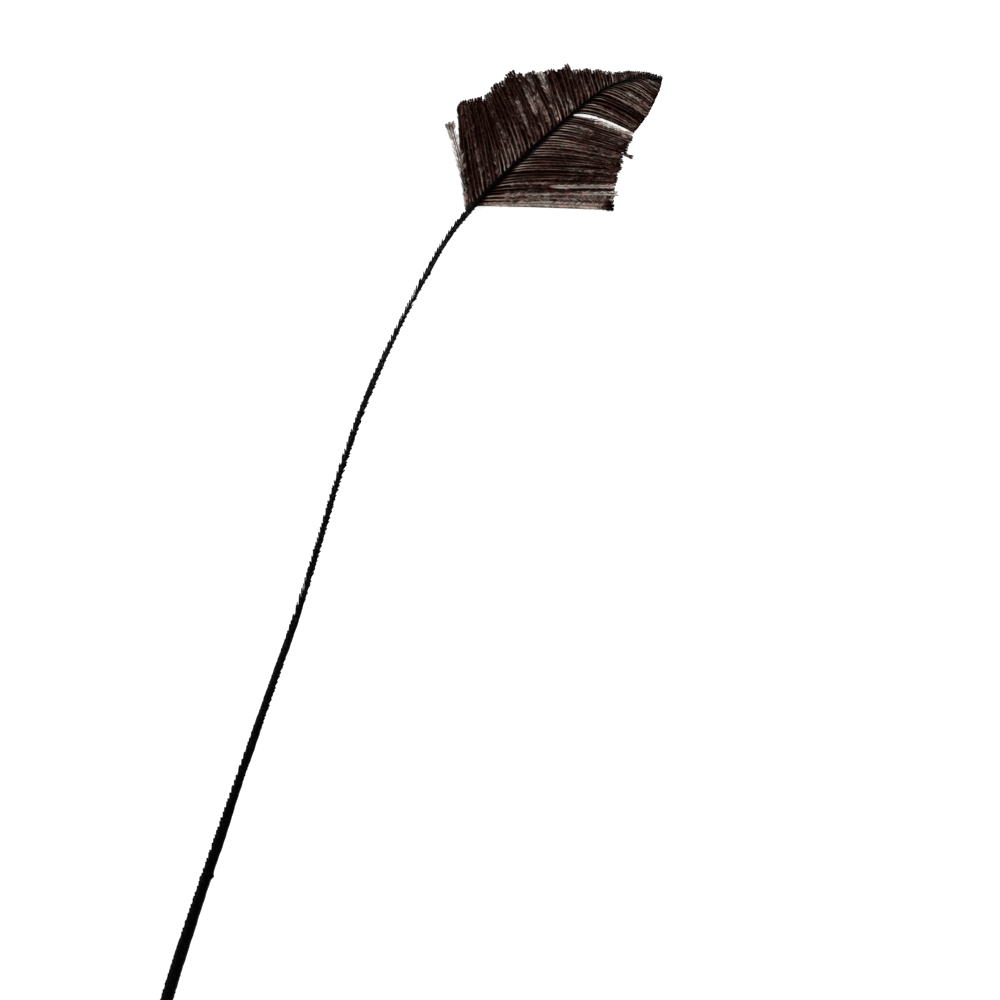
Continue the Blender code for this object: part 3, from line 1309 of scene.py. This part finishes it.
    def mats(self, spines: Spines, material: bpy.types.Material) -> bpy.types.Object:
        """The thick of the barbules close beneath the barbs: flat, ragged, closed strips, coloured
        darker than the barbules as painted shade.

        A strip lies between the lines that barbs would follow from a little beyond half way
        to the neighbouring roots. It is ragged from ring to ring, narrows where the barbs
        are less full, and stops short of the trimmed edge. It sinks beneath the barb as it
        leaves the shaft, and keeps a little of its thickness on the surface.

        Args:
            spines: The row's barbs.
            material: The finish of mats, darker than the barbules' as painted shade.

        Returns:
            The mats of the row, joined in one piece.
        """
        row = self.row
        rng = np.random.default_rng(row.seed + self.MAT_DRAW)
        grown, spacing = row.roots()
        even = grown[:, None] + 0.0 * spines.shares
        whole = np.linspace(0.0, 1.0, row.rings) + 0.0 * even
        length = self.cut_lengths(row.points(even, whole))[:, None]
        short = rng.uniform(*row.mat_short, length.shape)
        shares = whole * np.clip(1.0 - short / length, self.kept[0], 1.0)
        middle = row.points(even, shares)
        wide = ease((1.0 - whole) * length / row.mat_point)
        width = self.mat_end_width + (1.0 - self.mat_end_width) * wide
        edges = []
        for way in (1.0, -1.0):
            ragged = rng.uniform(*self.mat_ragged, shares.shape) * spines.fullness**2
            reach = self.mat_overlap * spacing[:, None] * ragged * width
            stations = np.clip(even + way * row.side.value * reach, row.edge[0][0], row.edge[-1][0])
            edges.append(row.points(stations, shares))
        left, right = edges
        left_half, right_half = (left + middle) / 2, (right + middle) / 2
        rings = np.stack([right, right_half, left_half, left, left_half, right_half], axis=2)
        heights, floors = np.array(self.mat_section).T
        sunk = self.mat_depth * ease(spines.gone / self.mat_sink_length + self.mat_sink_start)
        rings[..., 2] = np.maximum(rings[..., 2] + (heights - sunk[..., None]), LOWEST * floors)
        mesh = skin_of_tubes(rings).to_mesh(f"{row.name}_mats")
        set_tone(mesh, np.repeat(spines.tone[..., None], len(self.mat_section), axis=2))
        return put_in_scene(mesh, material)

    def spots(self, spines: Spines, rng: np.random.Generator) -> Spots:
        """Scatters the roots of barbules over the barbs, a share of them close to the edge.

        Args:
            spines: The row's barbs.
            rng: Gives the random numbers.

        Returns:
            The roots, without those that a thin streak takes away.
        """
        lengths = spines.gone[:, -1] / MILLIMETRE
        counts = np.round(lengths * self.row.fuzz.density).astype(int)
        barb = np.repeat(np.arange(len(counts)), counts)
        share = rng.uniform(0.0, 1.0, len(barb))
        beside = rng.uniform(0.0, 1.0, len(barb)) < self.edge_share
        most = np.minimum(1.0, self.edge_length / MILLIMETRE / lengths[barb])
        along = np.where(beside, 1.0 - share * most, share) * (self.row.rings - 1)
        ring = np.minimum(along.astype(int), self.row.rings - 2)
        spots = Spots(barb, ring, along - ring)
        missing = self.thinned * (1.0 - spots.read(spines.fullness))
        return spots.only(rng.uniform(0.0, 1.0, len(barb)) < 1.0 - missing)

    def barbules(self, spines: Spines, material: bpy.types.Material) -> list[bpy.types.Object]:
        """The barbules: thin bent spindles that stand off both sides of every barb.

        A spindle runs from a point inside the barb, over a ring of three points, to its tip.
        Its first part leaves at the barbule angle, or at a wider one whose sine is the room
        to fill over the barbule's length. Its second part is bent towards the barb's own
        direction. One ends where the trimmed edge cuts it.

        Args:
            spines: The row's barbs.
            material: The finish of barbules.

        Returns:
            The row's barbules, in as many pieces as the row asks for.
        """
        row, fuzz = self.row, self.row.fuzz
        rng = np.random.default_rng(row.seed + self.BARBULE_DRAW)
        spots = self.spots(spines, rng)
        number = len(spots.barb)
        root, frames = spots.read(spines.points), spots.read_frames(spines.frames)
        gone = spots.read(spines.gone)
        left = spines.gone[spots.barb, -1] - gone
        side = rng.choice([-1.0, 1.0], number)[:, None]
        wisps = rng.normal(size=(3, len(spines.gone), 2, self.wisps))
        clump = (gone / self.wisp_length).astype(int) % self.wisps
        wisp, wisp_turn, wisp_lift = wisps[:, spots.barb, (side[:, 0] > 0).astype(int), clump]
        sine = np.minimum(self.fill * spots.read(spines.room) / self.barbule_length, self.widest_sine)
        away = np.maximum(fuzz.angle, np.degrees(np.arcsin(sine)))
        away = away + self.edge_turn * (1.0 - ease(left / self.edge_length))
        away = away + fuzz.wisp_turn * wisp_turn + rng.normal(0.0, fuzz.spread, number)
        away = np.radians(np.maximum(away, self.least_angle))[:, None]
        lifted = np.radians(self.wisp_lift * wisp_lift + rng.normal(*self.lift, number))[:, None]
        later = away - np.radians(fuzz.bend + rng.normal(0.0, fuzz.spread, number))[:, None]
        fallen = lifted - np.radians(rng.uniform(*self.tip_fall, number))[:, None]
        nearness = 1.0 - ease(gone / self.near_length)
        size = self.barbule_length * (1.0 - fuzz.near_loss * nearness)
        size = size * rng.uniform(*self.length_spread, number)
        most = (left + row.short_of_edge + rng.uniform(*row.ragged, number)) / self.edge_slant
        size = np.minimum(size, np.maximum(most, self.shortest))[:, None]
        start = frames.heading(side, away, lifted)
        knee = root + start * size * self.knee
        tip = knee + frames.heading(side, later, fallen) * size * (1.0 - self.knee)
        thick = self.barbule_half_width * rng.uniform(*self.width_spread, number)
        ring = knee[:, None] + section(frames_of(start), np.radians([0.0, 120.0, 240.0]), thick)
        points = np.concatenate([root[:, None], ring, tip[:, None]], axis=1)
        floor = LOWEST * (1.0 + rng.uniform(0.0, 1.0, (number, 1)))
        points[..., 2] = np.maximum(points[..., 2], floor)
        tone = spots.read(spines.tone)
        tone = tone + fuzz.wisp_contrast * np.clip(wisp, -self.wisp_most, self.wisp_most)
        tone = tone + fuzz.contrast * rng.normal(size=number)
        # Close to the root, painted shade by the shaft where the near tone and shade is below 0.
        tones = (tone + fuzz.near_tone_and_shade * nearness)[:, None] + np.array(self.spindle_highlight_and_shade)
        order = np.argsort(spines.stations[spots.barb, 0], kind="stable")
        return [
            self.barbule_piece(index, points[chosen], tones[chosen], material)
            for index, chosen in enumerate(np.array_split(order, row.pieces), 1)
        ]

    def barbule_piece(
        self, index: int, points: Array, tones: Array, material: bpy.types.Material
    ) -> bpy.types.Object:
        """One piece of barbules, each with its own cell in the bake map.

        Args:
            index: The piece's number in the row, from 1.
            points: Spindles by 5 by 3.
            tones: Spindles by 5.
            material: The finish of barbules.

        Returns:
            The piece.
        """
        count, corners = points.shape[:2]
        pattern = np.array(self.SPINDLE_FACES)
        faces = (np.arange(count)[:, None, None] * corners + pattern).reshape(-1, 3)
        mesh = Skin(points.reshape(-1, 3), [faces]).to_mesh(f"{self.row.name}_barbules_{index}")
        set_tone(mesh, tones)
        cells = math.ceil(math.sqrt(count))
        number = np.arange(count)
        corner = np.stack([number % cells, number // cells], axis=-1)[:, None, :]
        set_map(mesh, BAKE_MAP, ((corner + np.array(self.SPINDLE_CELL)) / cells)[:, pattern.ravel()])
        return put_in_scene(mesh, material)


LEFT_ROW = BarbRow(
    name="left",
    side=Side.LEFT,
    edge=(
        (0.4156, -0.0174, 0.4158, 74.0),
        (0.4185, -0.0171, 0.4178, 64.0),
        (0.4210, -0.0168, 0.4189, 54.0),
        (0.4250, -0.0142, 0.4208, 46.0),
        (0.4290, -0.0121, 0.4217, 42.0),
        (0.4330, -0.0106, 0.4227, 42.0),
        (0.4370, -0.0091, 0.4250, 42.0),
        (0.4410, -0.0082, 0.4280, 42.0),
        (0.4460, -0.0060, 0.4317, 42.0),
        (0.4500, -0.0038, 0.4346, 42.0),
        (0.4530, -0.0013, 0.4350, 42.0),
        (0.4590, 0.0050, 0.4388, 42.0),
        (0.4620, 0.0082, 0.4403, 42.0),
        (0.4680, 0.0138, 0.4434, 42.0),
        (0.4695, 0.0156, 0.4427, 42.0),
        (0.4740, 0.0196, 0.4446, 42.0),
        (0.4800, 0.0256, 0.4462, 42.0),
        (0.4830, 0.0296, 0.4470, 42.0),
        (0.4890, 0.0347, 0.4493, 42.0),
        (0.4940, 0.0400, 0.4508, 42.0),
        (0.4995, 0.0462, 0.4511, 42.0),
    ),
    leaving_share=0.16,
    spacings=((0.4156, 0.0017), (0.4700, 0.0016), (0.4800, 0.0011), (0.4840, 0.0007), (0.4995, 0.0005)),
    seed=3,
    base_tone=0.31,
    ramus_gain=0.02,
    barb_contrast=0.07,
    painted_groove_shade=0.09,
    painted_root_shade=0.10,
    bare_highlight_after=0.0012,
    pull=(0.00, 0.15),
    pieces=3,
    streaks=(
        Streak(0.4178, 0.0007, -0.10, 0.85, -0.26),
        Streak(0.4215, 0.0006, 0.15, 0.75, -0.20),
        Streak(0.4233, 0.0005, 0.36, 0.62, 0.18),
        Streak(0.4250, 0.0008, 0.60, 0.95, -0.12),
        Streak(0.4298, 0.0006, 0.02, 0.50, 0.24),
        Streak(0.4342, 0.0010, 0.10, 1.00, -0.26),
        Streak(0.4364, 0.0005, 0.25, 0.72, 0.14),
        Streak(0.4390, 0.0012, 0.35, 1.00, -0.20),
        Streak(0.4422, 0.0007, 0.05, 1.05, -0.24),
        Streak(0.4450, 0.0005, 0.42, 1.05, 0.36),
        Streak(0.4470, 0.0006, 0.02, 0.78, 0.50),
        Streak(0.4483, 0.0004, 0.45, 1.00, -0.20),
        Streak(0.4494, 0.0005, 0.02, 0.95, 0.14),
        Streak(0.4514, 0.0006, 0.02, 1.05, 0.22),
        Streak(0.4514, 0.0006, 0.50, 1.05, 0.50),
        Streak(0.4535, 0.0007, 0.02, 1.05, 0.46),
        Streak(0.4547, 0.0006, 0.15, 1.05, 0.26),
        Streak(0.4563, 0.0005, 0.20, 1.05, -0.20),
        Streak(0.4581, 0.0006, 0.08, 1.05, 0.20),
        Streak(0.4581, 0.0006, 0.72, 1.05, 0.26),
        Streak(0.4646, 0.0005, 0.06, 0.52, 0.36),
        Streak(0.4694, 0.0005, 0.15, 0.85, 0.18),
        Streak(0.4742, 0.0006, -0.10, 1.00, -0.24),
        Streak(0.4780, 0.0034, 0.15, 1.00, -0.12),
        Streak(0.4806, 0.0008, 0.00, 1.05, -0.14),
        Streak(0.4829, 0.0003, 0.05, 0.62, 0.18),
        Streak(0.4848, 0.0012, -0.10, 1.05, -0.34),
        Streak(0.4864, 0.0003, 0.35, 1.05, 0.56, 0.95),
        Streak(0.4930, 0.0085, -0.10, 1.10, -0.34),
        Streak(0.4972, 0.0015, -0.10, 0.80, -0.12),
    ),
    tufts=(
        Tuft(0.4202, 0.0010, 0.0002),
        Tuft(0.4409, 0.0010, 0.0005),
        Tuft(0.4488, 0.0014, 0.0004),
        Tuft(0.4680, 0.0010, 0.0006),
        Tuft(0.4754, 0.0010, 0.0004),
    ),
)
STRAY_ROW = BarbRow(
    name="stray",
    side=Side.LEFT,
    edge=((0.4140, -0.0201, 0.4095, 37.0), (0.4156, -0.0184, 0.4121, 42.0)),
    leaving_share=0.35,
    spacings=((0.4140, 0.0008), (0.4156, 0.0008)),
    seed=29,
    fuzz=Fuzz(density=30.0, angle=46.0, bend=12.0, spread=7.0, near_tone_and_shade=0.0),
    base_tone=0.86,
    ramus_gain=-0.90,
    ramus_finest=0.00016,
    matted=False,
)
RIGHT_LOWER_ROW = BarbRow(
    name="right_lower",
    side=Side.RIGHT,
    edge=(
        (0.4175, 0.0465, 0.4014, 46.0),
        (0.4185, 0.0464, 0.4021, 45.0),
        (0.4202, 0.0455, 0.4049, 41.0),
        (0.4217, 0.0448, 0.4069, 36.0),
        (0.4233, 0.0444, 0.4080, 32.0),
        (0.4266, 0.0436, 0.4102, 26.0),
        (0.4300, 0.0432, 0.4121, 22.0),
        (0.4360, 0.0432, 0.4152, 20.0),
        (0.4430, 0.0431, 0.4176, 18.0),
        (0.4500, 0.0429, 0.4210, 17.0),
        (0.4560, 0.0431, 0.4236, 20.0),
        (0.4640, 0.0434, 0.4287, 36.0),
    ),
    leaving_share=0.18,
    spacings=((0.4175, 0.0017), (0.4400, 0.0016), (0.4640, 0.0012)),
    seed=5,
    fuzz=Fuzz(
        angle=18.0,
        bend=7.0,
        spread=4.0,
        wisp_turn=5.0,
        wisp_contrast=0.12,
        contrast=0.10,
        near_tone_and_shade=-0.40,
        near_loss=0.50,
    ),
    base_tone=0.32,
    painted_bare_highlight=(0.10, 0.80),
    ramus_gain=0.12,
    barb_contrast=0.13,
    lock_contrast=0.09,
    painted_groove_shade=0.18,
    pull=(0.10, 0.35),
    pieces=2,
    streaks=(
        Streak(0.4187, 0.0009, 0.02, 0.94, 0.82),
        Streak(0.4187, 0.0009, 0.02, 0.32, 0.30),
        Streak(0.4206, 0.0008, 0.25, 1.05, 0.08),
        Streak(0.4217, 0.0005, 0.28, 0.88, 0.18),
        Streak(0.4217, 0.0007, 0.78, 1.05, 0.50),
        Streak(0.4231, 0.0005, 0.05, 1.05, 0.28),
        Streak(0.4249, 0.0007, 0.64, 1.05, 0.72),
        Streak(0.4249, 0.0006, 0.38, 0.70, 0.24),
        Streak(0.4266, 0.0005, 0.60, 1.00, -0.28),
        Streak(0.4291, 0.0009, 0.25, 1.05, 0.20),
        Streak(0.4333, 0.0006, 0.66, 1.05, 0.36),
        Streak(0.4430, 0.0006, 0.10, 1.05, -0.14),
        Streak(0.4467, 0.0010, 0.05, 1.05, -0.20),
        Streak(0.4514, 0.0006, 0.25, 1.00, -0.24),
        Streak(0.4556, 0.0010, 0.30, 0.72, 0.24),
        Streak(0.4584, 0.0005, 0.22, 0.58, 0.22),
        Streak(0.4597, 0.0007, 0.05, 0.85, -0.18),
        Streak(0.4608, 0.0014, 0.84, 1.05, 0.24),
        Streak(0.4634, 0.0010, 0.56, 1.05, 0.42, 0.40),
    ),
    tufts=(Tuft(0.4505, 0.0007, 0.0020),),
)
RIGHT_UPPER_ROW = BarbRow(
    name="right_upper",
    side=Side.RIGHT,
    edge=(
        (0.4640, 0.0435, 0.4290, 17.0),
        (0.4710, 0.0448, 0.4324, 17.0),
        (0.4770, 0.0461, 0.4370, 12.0),
        (0.4830, 0.0466, 0.4417, 6.0),
        (0.4890, 0.0469, 0.4454, 5.0),
        (0.4940, 0.0468, 0.4477, 5.0),
        (0.4995, 0.0464, 0.4496, 5.0),
    ),
    leaving_share=0.28,
    spacings=((0.4640, 0.0016), (0.4995, 0.0012)),
    seed=7,
    fuzz=Fuzz(
        angle=16.0,
        bend=6.0,
        spread=4.0,
        wisp_turn=3.0,
        wisp_contrast=0.08,
        contrast=0.08,
        near_tone_and_shade=-0.34,
        near_loss=0.50,
    ),
    base_tone=0.30,
    painted_bare_highlight=(0.00, 0.40),
    ramus_gain=0.11,
    barb_contrast=0.15,
    painted_groove_shade=0.14,
    pull=(0.00, 0.10),
    uneven=0.00004,
    ragged=(-0.0001, 0.0002),
    mat_short=(0.0, 0.0001),
    mat_point=0.0002,
    streaks=(
        Streak(0.4640, 0.0006, 0.62, 1.05, 0.36, 0.50),
        Streak(0.4684, 0.0008, 0.10, 1.05, -0.18),
        Streak(0.4709, 0.0008, 0.70, 1.05, 0.12),
        Streak(0.4738, 0.0005, 0.20, 1.05, 0.12),
        Streak(0.4757, 0.0007, 0.60, 1.05, 0.24),
        Streak(0.4790, 0.0010, 0.50, 1.05, 0.32),
        Streak(0.4864, 0.0005, 0.10, 1.05, -0.20),
        Streak(0.4879, 0.0005, 0.30, 0.98, 0.44),
        Streak(0.4932, 0.0012, 0.00, 1.05, -0.14),
    ),
)


@dataclass(frozen=True)
class Lamp:
    """A soft square lamp, placed from the middle of the view.

    Across and along are the view's right and up, on the floor.
    """

    name: str
    across: float
    along: float
    up: float
    size: float
    power: float

    def build(self, middle: Array, right: Array, upward: Array) -> bpy.types.Object:
        """Hangs the lamp and points it at the middle of the view.

        Args:
            middle: The middle of the view, on the floor.
            right: The view's right, on the floor.
            upward: The view's up, on the floor.

        Returns:
            The lamp.
        """
        light = bpy.data.lights.new(self.name, "AREA")
        light.size = self.size
        light.energy = self.power
        lamp = bpy.data.objects.new(self.name, light)
        offset = right * self.across + upward * self.along + np.array([0.0, 0.0, self.up])
        lamp.location = middle + offset
        lamp.rotation_euler = Vector(-offset).to_track_quat("-Z", "Y").to_euler()
        bpy.context.scene.collection.objects.link(lamp)
        return lamp


@dataclass(frozen=True)
class Studio:
    """The pale floor, the soft lamps and the camera that looks down on the feather."""

    middle: tuple[float, float] = (0.0433, 0.2923)
    view_turn: float = 20.0
    view_width: float = 0.350
    camera_height: float = 1.2
    clip_end: float = 10.0
    sensor: float = 36.0
    floor_size: float = 12.0
    floor_level: float = -0.00003
    sky: float = 0.20
    lamps: tuple[Lamp, ...] = (
        Lamp("key lamp", 0.45, 0.80, 0.60, 0.45, 17.0),
        Lamp("fill lamp", -0.85, 0.10, 0.55, 0.60, 5.0),
    )

    def build(self) -> None:
        """Lays the floor, hangs the lamps, and places the camera, turned as in the photo."""
        turn = math.radians(self.view_turn)
        right = np.array([math.cos(turn), math.sin(turn), 0.0])
        upward = np.array([-math.sin(turn), math.cos(turn), 0.0])
        middle = np.array([*self.middle, 0.0])
        self.lay_floor()
        for lamp in self.lamps:
            lamp.build(middle, right, upward)
        world = bpy.data.worlds.new("soft sky")
        world.use_nodes = True
        background = world.node_tree.nodes["Background"]
        background.inputs["Color"].default_value = (1.0, 1.0, 1.0, 1.0)
        background.inputs["Strength"].default_value = self.sky
        bpy.context.scene.world = world
        bpy.context.scene.view_settings.view_transform = "Standard"
        lens = bpy.data.cameras.new("camera")
        lens.sensor_width = self.sensor
        lens.lens = self.sensor * self.camera_height / self.view_width
        lens.clip_end = self.clip_end
        camera = bpy.data.objects.new("camera", lens)
        camera.location = (*self.middle, self.camera_height)
        camera.rotation_euler = (0.0, 0.0, turn)
        bpy.context.scene.collection.objects.link(camera)
        bpy.context.scene.camera = camera

    def lay_floor(self) -> None:
        """A flat square beneath the feather, just under the surface that it rests on."""
        half = self.floor_size / 2
        corners = np.array([(-half, -half), (half, -half), (half, half), (-half, half)])
        points = np.column_stack([corners, np.full(4, self.floor_level)])
        mesh = Skin(points, [np.array([[0, 1, 2, 3]])]).to_mesh("floor")
        mesh.materials.append(FloorFinish().make())
        floor = bpy.data.objects.new("floor", mesh)
        bpy.context.scene.collection.objects.link(floor)


def triangles(piece: bpy.types.Object) -> int:
    """How many triangles a piece's mesh has."""
    return len(piece.data.loops) - 2 * len(piece.data.polygons)


def main() -> None:
    """Builds the feather's pieces and the studio in order, and reports each piece."""
    logging.basicConfig(level=logging.INFO, format="%(message)s")
    horn = QuillFinish().make()
    ramus = RAMUS_FINISH.make()
    barbule = BARBULE_FINISH.make()
    mat = SHADED_MAT_FINISH.make()
    pieces = [Shaft().build(horn), Stubs().build(horn)]
    for row in (LEFT_ROW, STRAY_ROW, RIGHT_LOWER_ROW, RIGHT_UPPER_ROW):
        vane = Vane(row)
        spines = vane.spines()
        pieces.append(vane.rami(spines, ramus))
        if row.matted:
            pieces.append(vane.mats(spines, mat))
        pieces.extend(vane.barbules(spines, barbule))
    for piece in pieces:
        LOG.info("%s: %d triangles", piece.name, triangles(piece))
    LOG.info("all: %d triangles", sum(triangles(piece) for piece in pieces))
    Studio().build()


if __name__ == "__main__":
    main()
